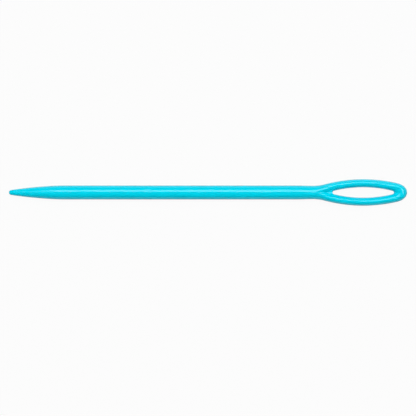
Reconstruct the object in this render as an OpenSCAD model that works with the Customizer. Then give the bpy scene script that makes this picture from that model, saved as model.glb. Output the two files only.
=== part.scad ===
// Plastic yarn needle: one moulding with a blunt tapered point, a round shank and an oval eye.
// It lies on its side, as on a table. X runs from the point to the eye, Z is up and square to the
// plane of the eye, and z = 0 is the surface that the shank lies on. Sizes are in millimetres.

/* [Whole needle] */
// Overall length, from the tip of the point to the end of the eye
needle_len = 76.2; // [60:0.1:150]
// Diameter of the straight round shank
shank_d = 2.68; // [2:0.02:4]

/* [Point] */
// Length of the point, from the tip to the full shank
point_len = 10.5; // [4:0.1:25]
// Diameter of the ball that rounds off the tip
tip_d = 0.97; // [0.4:0.01:1.6]
// Swell of the point: 1 is a straight cone, and a higher value is fuller
point_swell = 1.65; // [1:0.05:2.5]

/* [Waist] */
// Diameter of the waist between the shank and the eye
waist_d = 2.56; // [1.8:0.02:3.6]
// Length over which the shank narrows to the waist
waist_len = 3.3; // [1:0.1:8]
// Radius of the hollow curve that leads from the waist into the eye
neck_r = 8.5; // [3:0.1:20]

/* [Eye] */
// Length of the eye, from the waist to its rounded end
eye_len = 18; // [17:0.1:26]
// Width of the eye across its two bars
eye_w = 5.08; // [4:0.02:8]
// Thickness of the bars, square to the plane of the eye
eye_t = 2.15; // [1.4:0.01:3]
// Length of the rounded nose that joins the two bars
nose_len = 1.85; // [1.4:0.05:2.4]

/* [Opening] */
// Length of the opening that the yarn goes through
hole_len = 11.7; // [8:0.1:12.5]
// Width of the opening at its middle
hole_w = 1.98; // [1:0.02:2.8]
// Radius of the opening's two narrow ends
hole_end_r = 0.32; // [0.2:0.01:0.45]
// Wall between the opening and the end of the eye
end_wall = 2.55; // [2:0.05:3.5]

/* [Fork] */
// Share of the neck's length at which the crests of the two bars part
split_start = 0.2; // [0:0.05:0.5]
// How fast the crests part: 1 is evenly, and a lower value is faster at first
split_power = 0.55; // [0.4:0.05:1]
// Thickness of the web where the two bars part
web_t = 1.1; // [0.6:0.05:1.8]
// Width of the web's rounded edge at the opening
web_edge = 0.3; // [0.15:0.01:0.5]
// Softness of the hollow between bar and web: a higher value is a larger fillet
web_fillet = 0.25; // [0.1:0.05:0.5]

/* [Hidden] */
plastic = "#00d2ea";

// Radii and half thicknesses
tip_r = tip_d / 2;
shank_r = shank_d / 2;
waist_r = waist_d / 2;
bar_h = eye_t / 2;
web_h = web_t / 2;

// Places along the needle, counted from the tip
waist_x = needle_len - eye_len;
hole_front_x = needle_len - end_wall - hole_len;
hole_back_x = needle_len - end_wall;
crown_x = (hole_front_x + hole_back_x) / 2;
fork_x = hole_front_x - web_edge;
fork_out_x = fork_x - web_edge;
nose_x = needle_len - nose_len;

// The eye's side is a reverse curve: a hollow arc out of the waist and a full arc over the crown.
// Both arcs touch, which fixes the sum of their radii.
crown_y = eye_w / 2;
crown_run = crown_x - waist_x;
crown_rise = crown_y - waist_r;
radii_sum = (crown_run * crown_run + crown_rise * crown_rise) / (2 * crown_rise);
side_r = radii_sum - neck_r;
neck_end_x = crown_x - crown_run * side_r / radii_sum;

// The nose is half an ellipse that carries on from the side's full arc without a corner.
nose_y = crown_y - side_r + sqrt(pow(side_r, 2) - pow(nose_x - crown_x, 2));
nose_slope = (nose_x - crown_x) / (nose_y - crown_y + side_r);
nose_back = nose_slope * nose_len * nose_len / (nose_y - 2 * nose_slope * nose_len);
nose_a = nose_len + nose_back;
nose_b = nose_y * nose_a / sqrt(nose_a * nose_a - nose_back * nose_back);
nose_turn = 90 - atan(nose_slope);

// The opening is a lens of two side arcs with round ends.
hole_a = hole_len / 2 - hole_end_r;
hole_b = hole_w / 2;
hole_r = (hole_a * hole_a + hole_b * hole_b - pow(hole_end_r, 2)) / (2 * (hole_b - hole_end_r));
hole_turn = asin(hole_a / (hole_r - hole_end_r));

// The crest of a bar runs midway between the outline and the opening.
bar_half = (eye_w - hole_w) / 4;

// The eye's surface starts inside the end of the turned shank, and its first section is this much
// smaller all round, so the two meet in one clean step that is too small to see
root_depth = 0.5;
root_step = 0.006;

// Steps of the surface: across a quarter of a section, and along the needle
rim_steps = 6;
floor_steps = 6;
edge_steps = 3;
neck_steps = 12;
fan_steps = 5;
bar_steps = 20;
nose_steps = 11;
blend_steps = fan_steps + 4;
taper_steps = 20;
ball_steps = 8;
waist_steps = 10;

neck_cols = rim_steps + floor_steps;
flank_cols = floor_steps + edge_steps;
loop_cols = rim_steps + flank_cols;
neck_ring = 4 * neck_cols;
loop_ring = 2 * loop_cols;
loop_half = fan_steps + bar_steps + nose_steps;
bridge_count = 2 * edge_steps - 1;
bridge_first = (neck_steps + 1) * neck_ring;
loop_first = bridge_first + bridge_count;

function unit(angle) = [cos(angle), sin(angle)];
function mix(a, b, share) = a + (b - a) * share;
function ease(share) = (1 - cos(180 * share)) / 2;

// Radius of the point at a place along the needle, and of the waist at a share of its length
function point_radius(x, x0, r0) =
    r0 + (shank_r - r0) * (1 - pow(1 - (x - x0) / (point_len - x0), point_swell));
function waist_radius(share) = mix(shank_r, waist_r + root_step, ease(share));

// Outline of the eye up to the nose, and its outward direction there
function side_y(x) = x < neck_end_x
    ? waist_r + neck_r - sqrt(pow(neck_r, 2) - pow(x - waist_x, 2))
    : crown_y - side_r + sqrt(pow(side_r, 2) - pow(x - crown_x, 2));
function side_out(x) = x < neck_end_x
    ? [waist_x - x, waist_r + neck_r - side_y(x)] / neck_r
    : [x - crown_x, side_y(x) - crown_y + side_r] / side_r;

// Point of the nose whose outward direction has the given angle
function nose_point(angle) =
    let (c = nose_a * cos(angle), s = nose_b * sin(angle))
    [needle_len - nose_a, 0] + [nose_a * c, nose_b * s] / sqrt(c * c + s * s);

// Point of the opening's edge whose direction into the plastic has the given angle
function hole_point(angle) =
    angle > 90 + hole_turn ? [hole_front_x + hole_end_r, 0] + hole_end_r * unit(angle)
    : angle < 90 - hole_turn ? [hole_back_x - hole_end_r, 0] + hole_end_r * unit(angle)
    : [crown_x, hole_b - hole_r] + hole_r * unit(angle);

// How far the two crests have parted at a share of the neck's length
function split(t) = pow(max(0, (t - split_start) / (1 - split_start)), split_power);

// Stations of the loop, from the fork round one bar to the middle of the nose
function fan_share(k) = min(1, k / fan_steps);
function bar_share(k) = min(1, max(0, (k - fan_steps) / bar_steps));
function nose_share(k) = max(0, (k - fan_steps - bar_steps) / nose_steps);
function station_side_x(k) =
    mix(mix(fork_out_x, hole_front_x, fan_share(k)), nose_x, bar_share(k));
function outer_point(k) = nose_share(k) > 0
    ? nose_point(nose_turn * (1 - nose_share(k)))
    : [station_side_x(k), side_y(station_side_x(k))];
function outer_out(k) = nose_share(k) > 0
    ? unit(nose_turn * (1 - nose_share(k)))
    : side_out(station_side_x(k));
function hole_angle(k) = k < fan_steps
    ? mix(180, 90 + hole_turn, fan_share(k))
    : mix(90 + hole_turn, 90 - hole_turn, bar_share(k)) * (1 - nose_share(k));

// A section of a bar has three stretches: the rim from the outline up to the crest, the floor where
// the bar's round inner side runs into the web with a fillet, and the web's edge that rolls over
// into the opening. Past the fork the web fades out, until the bar's own flank is left.
function rim_point(edge, crest, height, share) =
    let (p = mix(crest, edge, cos(90 * share)))
    [p.x, p.y, height * sin(90 * share)];
function over_web(p, crest, reach, height, low, plate) =
    let (
        bar = height * sqrt(max(0, 1 - pow(norm(p - crest) / reach, 2))),
        rise = bar - plate,
        soft = web_fillet * (height - low) * plate / low
    )
    [p.x, p.y, plate + (rise + sqrt(rise * rise + soft * soft)) / 2];
function flank_point(foot, lip, low, share) =
    let (p = mix(foot, lip, sin(90 * share)))
    [p.x, p.y, low * cos(90 * share)];

// Column j of neck section i, from the outline (0) over the crest to the middle plane. Section 0 is
// the root inside the shank, a copy of section 1 at the waist.
function root_shift(i) = i == 0 ? [-root_depth, 0, 0] : [0, 0, 0];
function neck_point(i, j) = root_shift(i) + neck_section(max(0, i - 1) / (neck_steps - 1), j);
function neck_section(t, j) =
    let (
        x = mix(waist_x, fork_out_x, t),
        edge = [x, side_y(x)],
        reach = mix(waist_r, bar_half, split(t)),
        crest = edge - side_out(x) * reach,
        foot = [mix(waist_x, fork_x, t), 0],
        height = mix(waist_r, bar_h, ease(t)),
        low = mix(waist_r, web_h, ease(t)),
        crest_at = mix(1, rim_steps / neck_cols, ease(t)),
        at = j / neck_cols
    )
    at <= crest_at
        ? rim_point(edge, crest, height, at / crest_at)
        : over_web(mix(crest, foot, (at - crest_at) / (1 - crest_at)), crest, reach, height, low, low);

// Column i of a bar's inner side where the web is whole, from the crest (0) to the opening's edge
function webbed_point(crest, foot, lip, i) =
    let (
        reach = min(bar_half, norm(lip - crest)),
        turn = 90 * max(0, i - floor_steps) / edge_steps,
        p = i <= floor_steps ? mix(crest, foot, i / floor_steps) : mix(foot, lip, sin(turn))
    )
    over_web(p, crest, reach, bar_h, web_h, web_h * cos(turn));

// Column j of loop station k, from the outline (0) over the crest to the opening's edge
function loop_point(k, j) =
    let (
        web = 1 - ease(min(1, k / blend_steps)),
        edge = outer_point(k),
        crest = edge - outer_out(k) * bar_half,
        lip = hole_point(hole_angle(k)),
        foot = lip + unit(hole_angle(k)) * web_edge,
        plain = flank_point(crest, lip, bar_h, (j - rim_steps) / flank_cols)
    )
    j <= rim_steps
        ? rim_point(edge, crest, bar_h, j / rim_steps)
        : mix(plain, webbed_point(crest, foot, lip, j - rim_steps), web);

// A whole ring repeats one quarter or one half of a section with its signs changed
function flip(p, sy, sz) = [p.x, p.y * sy, p.z * sz];
function neck_ring_point(i, j) =
    j <= neck_cols ? neck_point(i, j)
    : j <= 2 * neck_cols ? flip(neck_point(i, 2 * neck_cols - j), -1, 1)
    : j <= 3 * neck_cols ? flip(neck_point(i, j - 2 * neck_cols), -1, -1)
    : flip(neck_point(i, neck_ring - j), 1, -1);
function loop_ring_point(k, j) =
    let (
        side = k <= loop_half ? 1 : -1,
        half = k <= loop_half ? k : 2 * loop_half - k
    )
    j <= loop_cols
        ? flip(loop_point(half, j), side, 1)
        : flip(loop_point(half, loop_ring - j), side, -1);

// Number of a vertex of loop station k. The first and the last station share the neck's last ring
// and the bridge, which rolls over the web's edge in the fork.
function fork_vertex(j, side) =
    let (last = neck_steps * neck_ring)
    j <= neck_cols ? last + (side > 0 ? j : 2 * neck_cols - j)
    : j < loop_ring - neck_cols ? bridge_first + j - neck_cols - 1
    : last + (side > 0 ? neck_ring - loop_ring + j : 2 * neck_cols + loop_ring - j);
function loop_vertex(k, j) =
    k == 0 ? fork_vertex(j, 1)
    : k == 2 * loop_half ? fork_vertex(j, -1)
    : loop_first + (k - 1) * loop_ring + j;
function neck_vertex(i, j) = i * neck_ring + j;

// Blunt point, straight shank and the narrowing to the waist, turned about the needle's axis
module point_and_shank() {
    tip_turn = atan(point_swell * (shank_r - tip_r) / (point_len - tip_r));
    ball_end_x = tip_r - tip_r * sin(tip_turn);
    ball_end_r = tip_r * cos(tip_turn);
    ball = [
        for (i = [0 : ball_steps])
            let (a = (90 - tip_turn) * i / ball_steps)
            [tip_r * sin(a), tip_r - tip_r * cos(a)]
    ];
    taper = [
        for (i = [1 : taper_steps])
            let (x = mix(ball_end_x, point_len, i / taper_steps))
            [point_radius(x, ball_end_x, ball_end_r), x]
    ];
    waist = [
        for (i = [0 : waist_steps])
            [waist_radius(i / waist_steps), waist_x - waist_len * (1 - i / waist_steps)]
    ];
    rotate([0, 90, 0])
        rotate_extrude($fn = 96)
            polygon(concat(ball, taper, waist, [[0, waist_x]]));
}

// Neck, fork and loop of the eye, as one surface of sections that starts at the waist
module eye() {
    neck_points = [
        for (i = [0 : neck_steps], j = [0 : neck_ring - 1])
            neck_ring_point(i, j)
    ];
    bridge_points = [
        for (b = [1 : bridge_count])
            loop_ring_point(0, neck_cols + b)
    ];
    loop_points = [
        for (k = [1 : 2 * loop_half - 1], j = [0 : loop_ring - 1])
            loop_ring_point(k, j)
    ];
    waist_face = [for (j = [0 : neck_ring - 1]) neck_vertex(0, j)];
    neck_faces = [
        for (i = [0 : neck_steps - 1], j = [0 : neck_ring - 1])
            let (
                n = (j + 1) % neck_ring,
                a = neck_vertex(i, j),
                b = neck_vertex(i, n),
                c = neck_vertex(i + 1, n),
                d = neck_vertex(i + 1, j)
            )
            each [[a, d, c], [a, c, b]]
    ];
    loop_faces = [
        for (k = [0 : 2 * loop_half - 1], j = [0 : loop_ring - 1])
            let (
                n = (j + 1) % loop_ring,
                a = loop_vertex(k, j),
                b = loop_vertex(k, n),
                c = loop_vertex(k + 1, n),
                d = loop_vertex(k + 1, j)
            )
            each [[a, d, c], [a, c, b]]
    ];
    polyhedron(
        points = concat(neck_points, bridge_points, loop_points),
        faces = concat([waist_face], neck_faces, loop_faces),
        convexity = 6
    );
}

// The needle as it lies on a table, with the middle of its length over the origin
module needle() {
    color(plastic)
        translate([-needle_len / 2, 0, shank_r]) {
            point_and_shank();
            eye();
        }
}

needle();
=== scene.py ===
"""Looks of a plastic yarn needle: a cyan moulding with a blunt point, a round shank and a long eye.

The needle lies along X with its point at -X, and the plane of its eye is level. Its sizes are in
millimetres and places along it count from the tip, until the finished mesh is moved to the
frame's own place and to metres. The studio is in metres.
"""

import logging
import math
from dataclasses import dataclass, field
from enum import Enum
from functools import cached_property
from typing import Any, Callable, Union

import bmesh
import bpy
from mathutils import Euler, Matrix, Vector


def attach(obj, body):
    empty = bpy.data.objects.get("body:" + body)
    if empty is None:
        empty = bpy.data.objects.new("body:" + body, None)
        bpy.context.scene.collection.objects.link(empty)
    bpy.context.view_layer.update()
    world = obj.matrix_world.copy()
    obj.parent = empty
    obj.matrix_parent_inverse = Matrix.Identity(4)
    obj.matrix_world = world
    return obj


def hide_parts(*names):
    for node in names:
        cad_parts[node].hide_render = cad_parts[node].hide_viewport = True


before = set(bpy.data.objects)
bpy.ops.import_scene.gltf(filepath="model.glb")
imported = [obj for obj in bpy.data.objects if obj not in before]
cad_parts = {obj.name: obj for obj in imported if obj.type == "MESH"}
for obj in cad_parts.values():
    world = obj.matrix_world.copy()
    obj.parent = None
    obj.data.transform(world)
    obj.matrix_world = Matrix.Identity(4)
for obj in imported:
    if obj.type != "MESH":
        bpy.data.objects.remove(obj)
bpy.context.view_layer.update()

Inputs = dict[Union[int, str], Any]
Triple = tuple[float, float, float]
Skin = list[Union[bmesh.types.BMVert, bmesh.types.BMEdge, bmesh.types.BMFace]]

LOG = logging.getLogger("needle")
METRES = 0.001

# Sizes that the shank and the eye share.
NEEDLE_LENGTH = 76.2
EYE_LENGTH = 18.0
WAIST_DIAMETER = 2.56

# Millimetres within which two points are one, and within which a point lies in the plane of the eye.
MERGE = 0.0005
IN_PLANE = 0.0001


def mix(a: Any, b: Any, share: float) -> Any:
    """Value or vector at a share of the way from a to b."""
    return a + (b - a) * share


def ease(share: float) -> float:
    """Share from 0 to 1 that starts and ends gently."""
    return (1 - math.cos(math.pi * share)) / 2


def unit(angle: float) -> Vector:
    """Direction in the plane of the eye at an angle in radians from +X."""
    return Vector((math.cos(angle), math.sin(angle)))


# Shader tools


class Signal:
    """A value socket that takes part in plain arithmetic, each operation adding a Math node."""

    def __init__(self, tree: "ShaderTree", socket: bpy.types.NodeSocket) -> None:
        """Wraps an output socket.

        Args:
            tree: The material's tree, which adds the Math nodes.
            socket: The output to compute with.
        """
        self.tree = tree
        self.socket = socket

    def _math(self, operation: str, first: Any, second: Any) -> "Signal":
        """Adds a Math node.

        Args:
            operation: The node's operation, such as ADD.
            first: Signal or number on the first input.
            second: Signal or number on the second input.

        Returns:
            The node's result.
        """
        made = self.tree.node("ShaderNodeMath", {"operation": operation}, {0: first, 1: second})
        return Signal(self.tree, made.outputs[0])

    def __add__(self, other: Any) -> "Signal":
        """Sum."""
        return self._math("ADD", self, other)

    def __radd__(self, other: Any) -> "Signal":
        """Sum with a number on the left."""
        return self._math("ADD", other, self)

    def __sub__(self, other: Any) -> "Signal":
        """Difference."""
        return self._math("SUBTRACT", self, other)

    def __rsub__(self, other: Any) -> "Signal":
        """Difference from a number on the left."""
        return self._math("SUBTRACT", other, self)

    def __mul__(self, other: Any) -> "Signal":
        """Product."""
        return self._math("MULTIPLY", self, other)

    def __rmul__(self, other: Any) -> "Signal":
        """Product with a number on the left."""
        return self._math("MULTIPLY", other, self)

    def clipped(self) -> "Signal":
        """The same value held between 0 and 1."""
        low = self._math("MAXIMUM", self, 0.0)
        return self._math("MINIMUM", low, 1.0)


class ShaderTree:
    """Node tree of one material, with one method that adds any node."""

    def __init__(self, name: str) -> None:
        """Makes an empty material.

        Args:
            name: Name of the material.
        """
        self.material = bpy.data.materials.new(name)
        self.material.use_nodes = True
        self.tree = self.material.node_tree
        self.tree.nodes.clear()

    def node(self, kind: str, settings: dict[str, Any], inputs: Inputs) -> bpy.types.Node:
        """Adds a node.

        Args:
            kind: Type name of the node.
            settings: Its own settings, which are set before its sockets.
            inputs: Value, Signal or output socket for each input, by name or number.

        Returns:
            The new node.
        """
        made = self.tree.nodes.new(kind)
        for key, value in settings.items():
            setattr(made, key, value)
        for key, value in inputs.items():
            if isinstance(value, Signal):
                value = value.socket
            if isinstance(value, bpy.types.NodeSocket):
                self.tree.links.new(value, made.inputs[key])
            else:
                made.inputs[key].default_value = value
        return made

    def signal(self, made: bpy.types.Node, output: Union[int, str] = 0) -> Signal:
        """One output of a node as a value to compute with."""
        return Signal(self, made.outputs[output])

    def finish(self, surface: bpy.types.NodeSocket) -> bpy.types.Material:
        """Links the surface to the material's output.

        Args:
            surface: Shader that the material shows.

        Returns:
            The finished material.
        """
        self.node("ShaderNodeOutputMaterial", {}, {"Surface": surface})
        return self.material


# Finishes


@dataclass(frozen=True)
class NeedlePlastic:
    """Cyan moulded plastic with a satin gloss, faint flow shades, a fine skin and hairline marks.

    A scale is in noise cells for each millimetre. The flow and the marks are drawn out along the
    needle, so only a share of their cells is left in that direction. The shade, height and rough
    values say how much each pattern adds to the colour, the bump and the roughness, and the depth
    of the skin is in metres.
    """

    deep: tuple[float, float, float, float] = (0.0, 0.640, 0.815, 1.0)
    clear: tuple[float, float, float, float] = (0.0, 0.690, 0.875, 1.0)
    roughness: float = 0.09
    specular: float = 0.26
    ior: float = 1.49
    flow_scale: float = 0.11
    flow_detail: float = 2.0
    flow_drawn: float = 0.25
    skin_scale: float = 7.0
    skin_detail: float = 3.0
    mark_scale: float = 5.5
    mark_detail: float = 1.0
    mark_drawn: float = 0.06
    mark_from: float = 0.62
    mark_full: float = 0.70
    shade_flow: float = 0.8
    shade_skin: float = 0.2
    height_skin: float = 0.7
    height_flow: float = 0.2
    height_marks: float = 0.5
    skin_depth: float = 0.0000003
    rough_spread: float = 0.04
    rough_marks: float = 0.05

    def material(self) -> bpy.types.Material:
        """Builds the material.

        Returns:
            The plastic, with its pattern on the piece's own coordinates in millimetres.
        """
        shader = ShaderTree("needle_plastic")
        place = shader.node("ShaderNodeTexCoord", {}, {}).outputs["Object"]
        per_mm = 1 / METRES
        even = self._scaled(shader, place, (per_mm, per_mm, per_mm))
        along = self._scaled(shader, place, (self.flow_drawn * per_mm, per_mm, per_mm))
        drawn = self._scaled(shader, place, (self.mark_drawn * per_mm, per_mm, per_mm))
        flow = self._noise(shader, along, self.flow_scale, self.flow_detail)
        skin = self._noise(shader, even, self.skin_scale, self.skin_detail)
        marks = self._marks(shader, drawn)
        mottle = flow * self.shade_flow + skin * self.shade_skin
        shade = shader.node(
            "ShaderNodeMix",
            {"data_type": "RGBA"},
            {"Factor": mottle.clipped(), "A": self.deep, "B": self.clear},
        )
        height = skin * self.height_skin + flow * self.height_flow - marks * self.height_marks
        bump = shader.node(
            "ShaderNodeBump",
            {},
            {"Strength": 1.0, "Distance": self.skin_depth, "Height": height},
        )
        smoothest = self.roughness - self.rough_spread
        rough = flow * self.rough_spread + skin * self.rough_spread + marks * self.rough_marks + smoothest
        plastic = shader.node(
            "ShaderNodeBsdfPrincipled",
            {},
            {
                "Base Color": shade.outputs["Result"],
                "Roughness": rough.clipped(),
                "Specular IOR Level": self.specular,
                "IOR": self.ior,
                "Normal": bump.outputs["Normal"],
            },
        )
        return shader.finish(plastic.outputs["BSDF"])

    @staticmethod
    def _scaled(shader: ShaderTree, place: bpy.types.NodeSocket, scale: Triple) -> bpy.types.NodeSocket:
        """Coordinates times a scale.

        Args:
            shader: Tree of the material.
            place: The piece's own coordinates in metres.
            scale: Units of pattern for each metre, along X, Y and Z.

        Returns:
            The scaled coordinates.
        """
        made = shader.node("ShaderNodeMapping", {}, {"Vector": place, "Scale": scale})
        return made.outputs["Vector"]

    @staticmethod
    def _noise(shader: ShaderTree, place: bpy.types.NodeSocket, scale: float, detail: float) -> Signal:
        """Soft noise from 0 to 1.

        Args:
            shader: Tree of the material.
            place: Coordinates of the pattern.
            scale: Noise cells for each unit of the coordinates.
            detail: Number of finer layers.

        Returns:
            The noise as a value.
        """
        made = shader.node("ShaderNodeTexNoise", {}, {"Vector": place, "Scale": scale, "Detail": detail})
        return shader.signal(made, "Fac")

    def _marks(self, shader: ShaderTree, place: bpy.types.NodeSocket) -> Signal:
        """Faint hairline marks along the needle, where handling has dulled it.

        Args:
            shader: Tree of the material.
            place: Coordinates that are drawn out along the needle.

        Returns:
            1 on a mark and 0 beside it.
        """
        fine = self._noise(shader, place, self.mark_scale, self.mark_detail)
        ramp = shader.node(
            "ShaderNodeMapRange",
            {"interpolation_type": "SMOOTHSTEP"},
            {
                "Value": fine,
                "From Min": self.mark_from,
                "From Max": self.mark_full,
                "To Min": 0.0,
                "To Max": 1.0,
            },
        )
        return shader.signal(ramp)


class SeenBy(Enum):
    """Kinds of ray to which the stage shows its plain white."""

    CAMERA = "Is Camera Ray"
    GLOSSY = "Is Glossy Ray"
    TRANSMISSION = "Is Transmission Ray"


@dataclass(frozen=True)
class StagePaper:
    """White paper of the floor and backdrop.

    The rays in SeenBy meet mostly plain white, and the share of paper that is left keeps a soft
    shadow of the needle.
    """

    albedo: float = 0.45
    white_share: float = 0.95

    def material(self) -> bpy.types.Material:
        """Builds the material.

        Returns:
            Matt paper mixed with plain white for the rays in SeenBy.
        """
        shader = ShaderTree("stage_paper")
        path = shader.node("ShaderNodeLightPath", {}, {})
        seen = shader.signal(path, SeenBy.CAMERA.value)
        seen = seen + shader.signal(path, SeenBy.GLOSSY.value)
        seen = seen + shader.signal(path, SeenBy.TRANSMISSION.value)
        grey = (self.albedo, self.albedo, self.albedo, 1.0)
        paper = shader.node("ShaderNodeBsdfDiffuse", {}, {"Color": grey})
        white = shader.node("ShaderNodeEmission", {}, {"Color": (1.0, 1.0, 1.0, 1.0), "Strength": 1.0})
        both = shader.node(
            "ShaderNodeMixShader",
            {},
            {0: seen.clipped() * self.white_share, 1: paper.outputs[0], 2: white.outputs[0]},
        )
        return shader.finish(both.outputs[0])


# Mesh tools


def spin_chain(bm: bmesh.types.BMesh, points: list[Triple], axis: Triple, steps: int) -> None:
    """Lays a chain of points and spins it full circle about an axis through the origin.

    Args:
        bm: Mesh that takes the skin.
        points: Points of the chain, in order.
        axis: Direction of the axis.
        steps: Number of faces round the axis.
    """
    chain = [bm.verts.new(point) for point in points]
    edges = [bm.edges.new(pair) for pair in zip(chain, chain[1:])]
    bmesh.ops.spin(
        bm,
        geom=chain + edges,
        cent=(0, 0, 0),
        axis=axis,
        angle=math.tau,
        steps=steps,
        use_merge=True,
    )


def lay_grid(bm: bmesh.types.BMesh, rows: int, columns: int, place: Callable[[int, int], Vector]) -> Skin:
    """Makes a grid and lays it over a surface.

    Args:
        bm: Mesh that takes the grid.
        rows: Faces along the needle.
        columns: Faces across it.
        place: Gives the point for a row and a column.

    Returns:
        The grid's vertices, edges and faces.
    """
    half = 0.5
    made = bmesh.ops.create_grid(bm, x_segments=rows, y_segments=columns, size=half)["verts"]
    for v in made:
        v.co = place(round((v.co.x + half) * rows), round((v.co.y + half) * columns))
    return skin_of(made)


def skin_of(verts: list[bmesh.types.BMVert]) -> Skin:
    """Gathers a skin.

    Args:
        verts: Vertices of the skin.

    Returns:
        The vertices with every edge and face that they carry, each once and in a steady order.
    """
    edges = dict.fromkeys(e for v in verts for e in v.link_edges)
    faces = dict.fromkeys(f for v in verts for f in v.link_faces)
    return list(verts) + list(edges) + list(faces)


def mirror_skin(bm: bmesh.types.BMesh, skin: Skin, axis: str) -> Skin:
    """Adds the mirror image of a skin.

    Args:
        bm: Mesh that holds the skin.
        skin: Vertices, edges and faces to mirror.
        axis: Axis across which they are mirrored, X, Y or Z.

    Returns:
        The skin with its mirror image.
    """
    made = bmesh.ops.mirror(bm, geom=skin, axis=axis, merge_dist=-1.0)["geom"]
    return skin + list(made)


def smooth_object(bm: bmesh.types.BMesh, name: str) -> bpy.types.Object:
    """Turns a finished skin into an object with smooth shading.

    Args:
        bm: Mesh with the skin, which is freed.
        name: Name of the object and of its mesh.

    Returns:
        The object, at the origin and in the scene.
    """
    mesh = bpy.data.meshes.new(name)
    bm.to_mesh(mesh)
    bm.free()
    mesh.shade_smooth()
    made = bpy.data.objects.new(name, mesh)
    bpy.context.scene.collection.objects.link(made)
    return made


# The needle


@dataclass(frozen=True)
class TurnedShank:
    """Blunt point, straight shank and waist: all that is round about the needle's axis."""

    length: float = NEEDLE_LENGTH - EYE_LENGTH
    diameter: float = 2.68
    waist_diameter: float = WAIST_DIAMETER
    waist_length: float = 3.3
    point_length: float = 10.5
    tip_diameter: float = 0.97
    point_swell: float = 1.65
    ball_steps: int = 8
    taper_steps: int = 26
    shank_steps: int = 30
    waist_steps: int = 12

    def profile(self) -> list[tuple[float, float]]:
        """Radius at each place along the axis.

        Returns:
            Pairs of the place from the tip and the radius there, from the tip to the waist.
        """
        tip_r = self.tip_diameter / 2
        full_r = self.diameter / 2
        turn = math.atan(self.point_swell * (full_r - tip_r) / (self.point_length - tip_r))
        ball_x = tip_r - tip_r * math.sin(turn)
        ball_r = tip_r * math.cos(turn)
        places = []
        for i in range(self.ball_steps + 1):
            angle = (math.pi / 2 - turn) * i / self.ball_steps
            places.append((tip_r - tip_r * math.cos(angle), tip_r * math.sin(angle)))
        for i in range(1, self.taper_steps + 1):
            share = i / self.taper_steps
            swell = 1 - (1 - share) ** self.point_swell
            places.append((mix(ball_x, self.point_length, share), mix(ball_r, full_r, swell)))
        waist_start = self.length - self.waist_length
        for i in range(1, self.shank_steps):
            places.append((mix(self.point_length, waist_start, i / self.shank_steps), full_r))
        for i in range(self.waist_steps + 1):
            share = i / self.waist_steps
            radius = mix(full_r, self.waist_diameter / 2, ease(share))
            places.append((mix(waist_start, self.length, share), radius))
        return places

    def build(self, bm: bmesh.types.BMesh, segments: int) -> None:
        """Spins the profile about the needle's axis.

        Args:
            bm: Mesh that takes the skin.
            segments: Number of faces round the shank.
        """
        spin_chain(bm, [(x, r, 0.0) for x, r in self.profile()], (1, 0, 0), segments)


@dataclass(frozen=True)
class SideCurve:
    """Half outline of the eye up to its nose: a hollow arc at the neck, then the bar's long arc."""

    waist_x: float
    waist_r: float
    crown_x: float
    crown_y: float
    neck_radius: float

    @cached_property
    def bar_radius(self) -> float:
        """Radius of the bar's arc, which meets the neck's arc without a corner.

        Returns:
            The radius for which the two arcs touch and are level at the waist and at the crown.
        """
        run = self.crown_x - self.waist_x
        rise = self.crown_y - self.waist_r
        return (run**2 + rise**2) / (2 * rise) - self.neck_radius

    @cached_property
    def neck_end_x(self) -> float:
        """Place where the neck's arc meets the bar's arc."""
        run = self.crown_x - self.waist_x
        return self.crown_x - run * self.bar_radius / (self.bar_radius + self.neck_radius)

    def y(self, x: float) -> float:
        """Half width of the outline.

        Args:
            x: Place along the eye, before the nose.

        Returns:
            Distance from the axis to the outline.
        """
        if x < self.neck_end_x:
            rise = math.sqrt(self.neck_radius**2 - (x - self.waist_x) ** 2)
            return self.waist_r + self.neck_radius - rise
        rise = math.sqrt(self.bar_radius**2 - (x - self.crown_x) ** 2)
        return self.crown_y - self.bar_radius + rise

    def out(self, x: float) -> Vector:
        """Outward direction of the outline.

        Args:
            x: Place along the eye, before the nose.

        Returns:
            Direction square to the outline.
        """
        y = self.y(x)
        if x < self.neck_end_x:
            return Vector((self.waist_x - x, self.waist_r + self.neck_radius - y)) / self.neck_radius
        return Vector((x - self.crown_x, y - self.crown_y + self.bar_radius)) / self.bar_radius


@dataclass(frozen=True)
class NoseCurve:
    """Half ellipse that closes the outline and carries on the slope of its side."""

    side: SideCurve
    end_x: float
    length: float

    @property
    def start_x(self) -> float:
        """Place where the side ends and the nose starts."""
        return self.end_x - self.length

    @cached_property
    def slope(self) -> float:
        """Fall of the outline where the nose starts."""
        out = self.side.out(self.start_x)
        return out.x / out.y

    @cached_property
    def back(self) -> float:
        """Stretch of the half ellipse that lies before the nose's start."""
        return self.slope * self.length**2 / (self.side.y(self.start_x) - 2 * self.slope * self.length)

    @cached_property
    def half_length(self) -> float:
        """Half axis along the needle."""
        return self.length + self.back

    @cached_property
    def half_width(self) -> float:
        """Half axis across the needle."""
        chord = math.sqrt(self.half_length**2 - self.back**2)
        return self.side.y(self.start_x) * self.half_length / chord

    @cached_property
    def turn(self) -> float:
        """Angle of the outward direction where the nose starts."""
        return math.pi / 2 - math.atan(self.slope)

    def point(self, angle: float) -> Vector:
        """Point of the nose.

        Args:
            angle: Angle from +X of the outward direction there.

        Returns:
            The point, in the plane of the eye.
        """
        c = self.half_length * math.cos(angle)
        s = self.half_width * math.sin(angle)
        reach = math.hypot(c, s)
        x = self.end_x - self.half_length + self.half_length * c / reach
        return Vector((x, self.half_width * s / reach))


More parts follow.
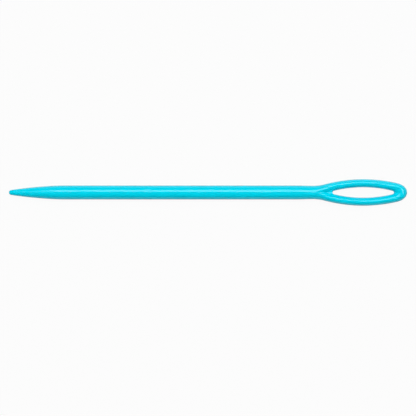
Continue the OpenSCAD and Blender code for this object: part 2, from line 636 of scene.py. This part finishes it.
@dataclass(frozen=True)
class Opening:
    """Lens with round ends, through which the yarn goes."""

    front_x: float
    length: float
    width: float
    end_radius: float

    @property
    def back_x(self) -> float:
        """End of the opening that is nearer to the nose."""
        return self.front_x + self.length

    @property
    def middle_x(self) -> float:
        """Widest place of the opening."""
        return self.front_x + self.length / 2

    @cached_property
    def side_radius(self) -> float:
        """Radius of the long arcs.

        Returns:
            The radius for which a long arc touches the round ends.
        """
        a = self.length / 2 - self.end_radius
        b = self.width / 2
        return (a * a + b * b - self.end_radius**2) / (2 * (b - self.end_radius))

    @cached_property
    def turn(self) -> float:
        """Angle through which a long arc turns from its middle to its end."""
        return math.asin((self.length / 2 - self.end_radius) / (self.side_radius - self.end_radius))

    def point(self, angle: float) -> Vector:
        """Point of the opening's edge.

        Args:
            angle: Angle from +X of the direction into the plastic there, up to half a turn.

        Returns:
            The point, on the side of the bar at +Y.
        """
        end = self.end_radius
        if angle > math.pi / 2 + self.turn:
            return Vector((self.front_x + end, 0)) + end * unit(angle)
        if angle < math.pi / 2 - self.turn:
            return Vector((self.back_x - end, 0)) + end * unit(angle)
        return Vector((self.middle_x, self.width / 2 - self.side_radius)) + self.side_radius * unit(angle)


@dataclass(frozen=True)
class BarTop:
    """Round top of a bar at one section of the eye."""

    crest: Vector
    reach: float
    height: float

    def level(self, p: Vector) -> float:
        """Height of the bar above a place in the plane of the eye, 0 beyond its reach."""
        return self.height * math.sqrt(max(0.0, 1 - ((p - self.crest).length / self.reach) ** 2))


@dataclass(frozen=True)
class Eye:
    """Neck, fork and loop of the eye: two rounded bars with a web where they part.

    The outline is a reverse curve of two arcs that ends in half an ellipse, and the opening is a
    lens with round ends. A section of a bar has a rim up to its crest, a floor down to the web and
    a flank that rolls over into the opening. On the nose the crest draws in from bar_half to
    nose_half, and the flank straightens from bar_fall, the power of an ellipse, to nose_fall.
    """

    needle_length: float = NEEDLE_LENGTH
    length: float = EYE_LENGTH
    width: float = 5.08
    thickness: float = 2.15
    waist_diameter: float = WAIST_DIAMETER
    neck_radius: float = 8.5
    nose_length: float = 1.85
    nose_half: float = 1.15
    nose_delay: float = 1.4
    bar_fall: float = 2.0
    nose_fall: float = 1.3
    hole_length: float = 11.7
    hole_width: float = 1.98
    hole_end_radius: float = 0.32
    end_wall: float = 2.55
    web_thickness: float = 1.1
    web_edge: float = 0.3
    web_fillet: float = 0.25
    split_start: float = 0.2
    split_power: float = 0.55
    rim_steps: int = 10
    floor_steps: int = 8
    edge_steps: int = 6
    neck_steps: int = 24
    fan_steps: int = 9
    bar_steps: int = 34
    nose_steps: int = 18
    blend_steps: int = 16

    @cached_property
    def hole(self) -> Opening:
        """Opening of the eye."""
        front = self.needle_length - self.end_wall - self.hole_length
        return Opening(front, self.hole_length, self.hole_width, self.hole_end_radius)

    @cached_property
    def side(self) -> SideCurve:
        """Outline from the waist to the nose."""
        return SideCurve(self.waist_x, self.waist_r, self.hole.middle_x, self.width / 2, self.neck_radius)

    @cached_property
    def nose(self) -> NoseCurve:
        """Outline of the nose."""
        return NoseCurve(self.side, self.needle_length, self.nose_length)

    @property
    def waist_x(self) -> float:
        """Place where the shank ends and the eye starts."""
        return self.needle_length - self.length

    @property
    def waist_r(self) -> float:
        """Radius of the needle where the eye starts."""
        return self.waist_diameter / 2

    @property
    def bar_half(self) -> float:
        """Half width of a bar beside the middle of the opening."""
        return (self.width - self.hole_width) / 4

    @property
    def bar_h(self) -> float:
        """Height of a bar's crest above the plane of the eye."""
        return self.thickness / 2

    @property
    def web_h(self) -> float:
        """Height of the web above the plane of the eye."""
        return self.web_thickness / 2

    @property
    def fork_x(self) -> float:
        """Place where the web's edge starts to roll over into the opening."""
        return self.hole.front_x - self.web_edge

    @property
    def fork_out_x(self) -> float:
        """Place of the outline that stands beside the fork."""
        return self.fork_x - self.web_edge

    @property
    def ring_steps(self) -> int:
        """Faces in a quarter of a neck section."""
        return self.rim_steps + self.floor_steps

    def nose_share(self, k: float) -> float:
        """Share of the nose that a station of the loop has passed, 0 before the nose."""
        return max(0.0, (k - self.fan_steps - self.bar_steps) / self.nose_steps)

    def station(self, k: float) -> tuple[Vector, Vector, float]:
        """A station of the loop, from the fork round one bar to the middle of the nose.

        Args:
            k: Number of the station.

        Returns:
            The outline's point, its outward direction, and the angle of the opening's point.
        """
        fan = min(1.0, k / self.fan_steps)
        bar = min(1.0, max(0.0, (k - self.fan_steps) / self.bar_steps))
        nose = self.nose_share(k)
        right = math.pi / 2
        if fan < 1:
            angle = mix(math.pi, right + self.hole.turn, fan)
        else:
            angle = mix(right + self.hole.turn, right - self.hole.turn, bar) * (1 - nose)
        if nose > 0:
            turn = self.nose.turn * (1 - nose)
            return self.nose.point(turn), unit(turn), angle
        x = mix(mix(self.fork_out_x, self.hole.front_x, fan), self.nose.start_x, bar)
        return Vector((x, self.side.y(x))), self.side.out(x), angle

    @staticmethod
    def rim(edge: Vector, crest: Vector, height: float, share: float) -> Vector:
        """Point between the outline and the crest.

        Args:
            edge: Point of the outline.
            crest: Point below the crest, in the plane of the eye.
            height: Height of the crest.
            share: Share of the way, 0 on the outline and 1 on the crest.

        Returns:
            The point of the upper half.
        """
        turn = share * math.pi / 2
        p = mix(crest, edge, math.cos(turn))
        return Vector((p.x, p.y, height * math.sin(turn)))

    def over_web(self, p: Vector, bar: BarTop, low: float, plate: float) -> Vector:
        """Point above p where the round inner side of a bar runs into the web.

        Args:
            p: Place in the plane of the eye.
            bar: Round top of the bar.
            low: Height of the whole web.
            plate: Height of the web at p.

        Returns:
            The point of the upper half, with a fillet between bar and web.
        """
        soft = self.web_fillet * (bar.height - low) * plate / low
        rise = bar.level(p) - plate
        return Vector((p.x, p.y, plate + (rise + math.hypot(rise, soft)) / 2))

    def flank(self, crest: Vector, lip: Vector, fall: float, share: float) -> Vector:
        """Point of a bar's own inner side.

        Args:
            crest: Point below the crest, in the plane of the eye.
            lip: Point of the opening's edge.
            fall: Power of the fall, 2 for an ellipse.
            share: Share of the way, 0 on the crest and 1 on the lip.

        Returns:
            The point of the upper half.
        """
        out = math.sin(share * math.pi / 2)
        p = mix(crest, lip, out)
        return Vector((p.x, p.y, self.bar_h * math.sqrt(max(0.0, 1 - out**fall))))

    def split(self, t: float) -> float:
        """How far the two crests have parted at a share of the neck."""
        return max(0.0, (t - self.split_start) / (1 - self.split_start)) ** self.split_power

    def neck_point(self, i: int, j: int) -> Vector:
        """Point of the neck, from the waist to the fork.

        Args:
            i: Number of the section, 0 at the waist.
            j: Number of the column, 0 on the outline.

        Returns:
            The point of the upper quarter at +Y.
        """
        t = i / self.neck_steps
        x = mix(self.waist_x, self.fork_out_x, t)
        edge = Vector((x, self.side.y(x)))
        reach = mix(self.waist_r, self.bar_half, self.split(t))
        height = mix(self.waist_r, self.bar_h, ease(t))
        bar = BarTop(edge - self.side.out(x) * reach, reach, height)
        foot = Vector((mix(self.waist_x, self.fork_x, t), 0.0))
        low = mix(self.waist_r, self.web_h, ease(t))
        crest_at = mix(1.0, self.rim_steps / self.ring_steps, ease(t))
        at = j / self.ring_steps
        if at <= crest_at:
            return self.rim(edge, bar.crest, height, at / crest_at)
        place = mix(bar.crest, foot, (at - crest_at) / (1 - crest_at))
        return self.over_web(place, bar, low, low)

    def loop_point(self, k: int, j: int) -> Vector:
        """Point of the loop, from the fork to the middle of the nose.

        Args:
            k: Number of the station, 0 at the fork.
            j: Number of the column, 0 on the outline.

        Returns:
            The point of the upper half of the bar at +Y.
        """
        web = 1 - ease(min(1.0, k / self.blend_steps))
        nose = ease(self.nose_share(k))
        edge, out, angle = self.station(k)
        crest = edge - out * mix(self.bar_half, self.nose_half, nose**self.nose_delay)
        lip = self.hole.point(angle)
        if j <= self.rim_steps:
            return self.rim(edge, crest, self.bar_h, j / self.rim_steps)
        inner = j - self.rim_steps
        fall = mix(self.bar_fall, self.nose_fall, nose)
        plain = self.flank(crest, lip, fall, inner / (self.floor_steps + self.edge_steps))
        foot = lip + unit(angle) * self.web_edge
        return mix(plain, self.webbed(crest, foot, lip, inner), web)

    def webbed(self, crest: Vector, foot: Vector, lip: Vector, inner: int) -> Vector:
        """Point of a bar's inner side where the web is whole.

        Args:
            crest: Top line of the bar.
            foot: Where the web's rolled edge starts.
            lip: The opening's edge.
            inner: Number of the column, counted from the crest.

        Returns:
            The point of the upper half.
        """
        bar = BarTop(crest, min(self.bar_half, (lip - crest).length), self.bar_h)
        if inner <= self.floor_steps:
            place = mix(crest, foot, inner / self.floor_steps)
            return self.over_web(place, bar, self.web_h, self.web_h)
        turn = math.pi / 2 * (inner - self.floor_steps) / self.edge_steps
        place = mix(foot, lip, math.sin(turn))
        return self.over_web(place, bar, self.web_h, self.web_h * math.cos(turn))

    def build(self, bm: bmesh.types.BMesh) -> None:
        """Lays one quarter of the eye and mirrors it across the eye's plane and across the axis.

        Args:
            bm: Mesh that takes the skin.
        """
        loop_steps = self.fan_steps + self.bar_steps + self.nose_steps
        quarter = lay_grid(bm, self.neck_steps, self.ring_steps, self.neck_point)
        quarter += lay_grid(bm, loop_steps, self.ring_steps + self.edge_steps, self.loop_point)
        upper = mirror_skin(bm, quarter, "Y")
        mirror_skin(bm, upper, "Z")


@dataclass(frozen=True)
class PartingLine:
    """Fine raised line where the two halves of the mould met, in the plane of the eye."""

    half_width: float = 0.05
    height: float = 0.018
    start_x: float = 0.4
    run_in: float = 0.2

    def build(self, bm: bmesh.types.BMesh) -> None:
        """Bevels the edges in the eye's plane and raises the middle of the bevel.

        The bevel starts behind the tip, at start_x, and the line rises after the run-in.

        Args:
            bm: Finished skin of the needle.
        """
        seam = [
            e
            for e in bm.edges
            if all(abs(v.co.z) < IN_PLANE and v.co.x > self.start_x for v in e.verts)
        ]
        bmesh.ops.bevel(
            bm,
            geom=seam,
            offset=self.half_width,
            offset_type="OFFSET",
            segments=2,
            profile=0.5,
            affect="EDGES",
            material=-1,
        )
        bm.normal_update()
        raised_x = self.start_x + self.run_in
        for v in [v for v in bm.verts if abs(v.co.z) < IN_PLANE and v.co.x > raised_x]:
            v.co += v.normal * self.height


@dataclass
class Needle:
    """The whole needle, one moulding in one plastic."""

    shank: TurnedShank = field(default_factory=TurnedShank)
    eye: Eye = field(default_factory=Eye)
    line: PartingLine = field(default_factory=PartingLine)
    plastic: NeedlePlastic = field(default_factory=NeedlePlastic)
    name: str = "needle_moulding"

    def build(self) -> bpy.types.Object:
        """Joins the shank and the eye into one closed skin, in the frame's place.

        Returns:
            The needle's object, at the origin and in metres.
        """
        bm = bmesh.new()
        self.shank.build(bm, 4 * self.eye.ring_steps)
        self.eye.build(bm)
        bmesh.ops.remove_doubles(bm, verts=bm.verts, dist=MERGE)
        bmesh.ops.recalc_face_normals(bm, faces=bm.faces)
        self.line.build(bm)
        middle = (-self.eye.needle_length / 2, 0.0, self.shank.diameter / 2)
        bmesh.ops.translate(bm, vec=middle, verts=bm.verts)
        bmesh.ops.scale(bm, vec=(METRES, METRES, METRES), verts=bm.verts)
        open_edges = [e for e in bm.edges if not e.is_manifold]
        LOG.info("skin: %d faces, %d open edges", len(bm.faces), len(open_edges))
        piece = smooth_object(bm, self.name)
        smooth = piece.modifiers.new("smooth", "SUBSURF")
        smooth.levels = 1
        smooth.render_levels = 1
        return piece

    def dress(self, piece: bpy.types.Object) -> None:
        """Gives the needle its plastic and its place on the frame.

        Args:
            piece: The needle's object.
        """
        piece.data.materials.append(self.plastic.material())
        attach(piece, "root")
        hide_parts("needle")


# The studio


class LampOutline(Enum):
    """Outlines that a soft lamp can have."""

    RECTANGLE = "RECTANGLE"
    ELLIPSE = "ELLIPSE"


@dataclass(frozen=True)
class SoftBox:
    """A soft lamp that looks at the needle.

    Lengths are in metres and angles in degrees: tilt counts from straight above, and toward from
    +X. The last two fields say whether glossy and whether diffuse reflections show the lamp.
    """

    name: str
    outline: LampOutline
    tilt: float
    toward: float
    distance: float
    length: float
    width: float
    radiance: float
    in_gloss: bool = True
    in_diffuse: bool = True

    def build(self) -> None:
        """Adds the lamp, tilted from straight above towards its heading."""
        lamp = bpy.data.lights.new(self.name, "AREA")
        lamp.shape = self.outline.value
        lamp.size = self.length
        lamp.size_y = self.width
        filled = math.pi / 4 if self.outline is LampOutline.ELLIPSE else 1.0
        lamp.energy = self.radiance * math.pi * self.length * self.width * filled
        turn = math.radians(self.tilt)
        heading = math.radians(self.toward)
        holder = bpy.data.objects.new(self.name, lamp)
        holder.location = (
            self.distance * math.sin(turn) * math.cos(heading),
            self.distance * math.sin(turn) * math.sin(heading),
            self.distance * math.cos(turn),
        )
        holder.rotation_euler = Euler((-turn, 0.0, heading - math.pi / 2))
        holder.visible_glossy = self.in_gloss
        holder.visible_diffuse = self.in_diffuse
        bpy.context.scene.collection.objects.link(holder)
        LOG.info("lamp %s at %.0f degrees from above", self.name, self.tilt)


@dataclass(frozen=True)
class Sweep:
    """White paper floor that curves up into a low backdrop all round, in metres."""

    floor_radius: float = 2.4
    cove_radius: float = 0.15
    wall_height: float = 0.25
    cove_steps: int = 12
    segments: int = 72
    merge: float = 0.001
    paper: StagePaper = field(default_factory=StagePaper)

    def build(self) -> None:
        """Spins the sweep's profile about the upright axis."""
        bm = bmesh.new()
        places = [(0.0, 0.0)]
        for i in range(self.cove_steps + 1):
            turn = math.pi / 2 * i / self.cove_steps
            rise = self.cove_radius * (1 - math.cos(turn))
            places.append((self.floor_radius + self.cove_radius * math.sin(turn), rise))
        places.append((self.floor_radius + self.cove_radius, self.wall_height))
        spin_chain(bm, [(x, 0.0, z) for x, z in places], (0, 0, 1), self.segments)
        bmesh.ops.remove_doubles(bm, verts=bm.verts, dist=self.merge)
        bmesh.ops.recalc_face_normals(bm, faces=bm.faces)
        bm.faces.ensure_lookup_table()
        centre = min(bm.faces, key=lambda f: f.calc_center_median().length)
        if centre.normal.z < 0:
            bmesh.ops.reverse_faces(bm, faces=bm.faces)
        sweep = smooth_object(bm, "sweep")
        sweep.data.materials.append(self.paper.material())
        LOG.info("sweep of white paper laid")


@dataclass(frozen=True)
class Studio:
    """Soft lamps, pale surroundings and the camera straight above.

    The lens and its sensor are in millimetres, and places and widths are in metres. The key lamp
    draws the line of light along the shank and the bars. The end lamp and the back lamp carry it
    round the nose and are seen in the gloss only. The fill lamp evens out the colour.
    """

    lamps: tuple[SoftBox, ...] = (
        SoftBox(
            "key",
            LampOutline.ELLIPSE,
            tilt=26.0,
            toward=78.0,
            distance=0.55,
            length=0.44,
            width=0.31,
            radiance=5.4,
        ),
        SoftBox(
            "end",
            LampOutline.ELLIPSE,
            tilt=36.0,
            toward=17.0,
            distance=0.60,
            length=0.38,
            width=0.24,
            radiance=6.2,
            in_diffuse=False,
        ),
        SoftBox(
            "back",
            LampOutline.ELLIPSE,
            tilt=26.0,
            toward=135.0,
            distance=0.60,
            length=0.22,
            width=0.20,
            radiance=1.3,
            in_diffuse=False,
        ),
        SoftBox(
            "fill",
            LampOutline.RECTANGLE,
            tilt=16.0,
            toward=115.0,
            distance=1.20,
            length=1.2,
            width=1.2,
            radiance=0.84,
            in_gloss=False,
        ),
    )
    sweep: Sweep = field(default_factory=Sweep)
    ambient: float = 0.36
    lens: float = 200.0
    sensor: float = 36.0
    clip_start: float = 0.01
    clip_end: float = 20.0
    view_width: float = 0.0796
    camera_y: float = -0.00297

    def build(self) -> None:
        """Adds the lamps, the surroundings and the sweep."""
        for lamp in self.lamps:
            lamp.build()
        self.sweep.build()
        world = bpy.data.worlds.new("studio")
        world.use_nodes = True
        sky = world.node_tree.nodes["Background"]
        sky.inputs["Color"].default_value = (1.0, 1.0, 1.0, 1.0)
        sky.inputs["Strength"].default_value = self.ambient
        world.cycles_visibility.glossy = False
        bpy.context.scene.world = world
        bpy.context.scene.view_settings.view_transform = "Standard"

    def aim(self, height: float) -> None:
        """Adds the camera, straight above and square to the floor.

        Args:
            height: Level of the needle's axis, at which the view has its stated width.
        """
        lens = bpy.data.cameras.new("camera")
        lens.lens = self.lens
        lens.sensor_width = self.sensor
        lens.clip_start = self.clip_start
        lens.clip_end = self.clip_end
        distance = self.view_width * self.lens / self.sensor
        holder = bpy.data.objects.new("camera", lens)
        holder.location = (0.0, self.camera_y, height + distance)
        bpy.context.scene.collection.objects.link(holder)
        bpy.context.scene.camera = holder
        LOG.info("camera %.3f m above the needle", distance)


def main() -> None:
    """Builds the needle and the studio."""
    logging.basicConfig(level=logging.INFO, format="%(name)s: %(message)s")
    needle = Needle()
    piece = needle.build()
    needle.dress(piece)
    LOG.info("%s stands for the node needle", piece.name)
    studio = Studio()
    studio.build()
    studio.aim(needle.shank.diameter / 2 * METRES)


if __name__ == "__main__":
    main()
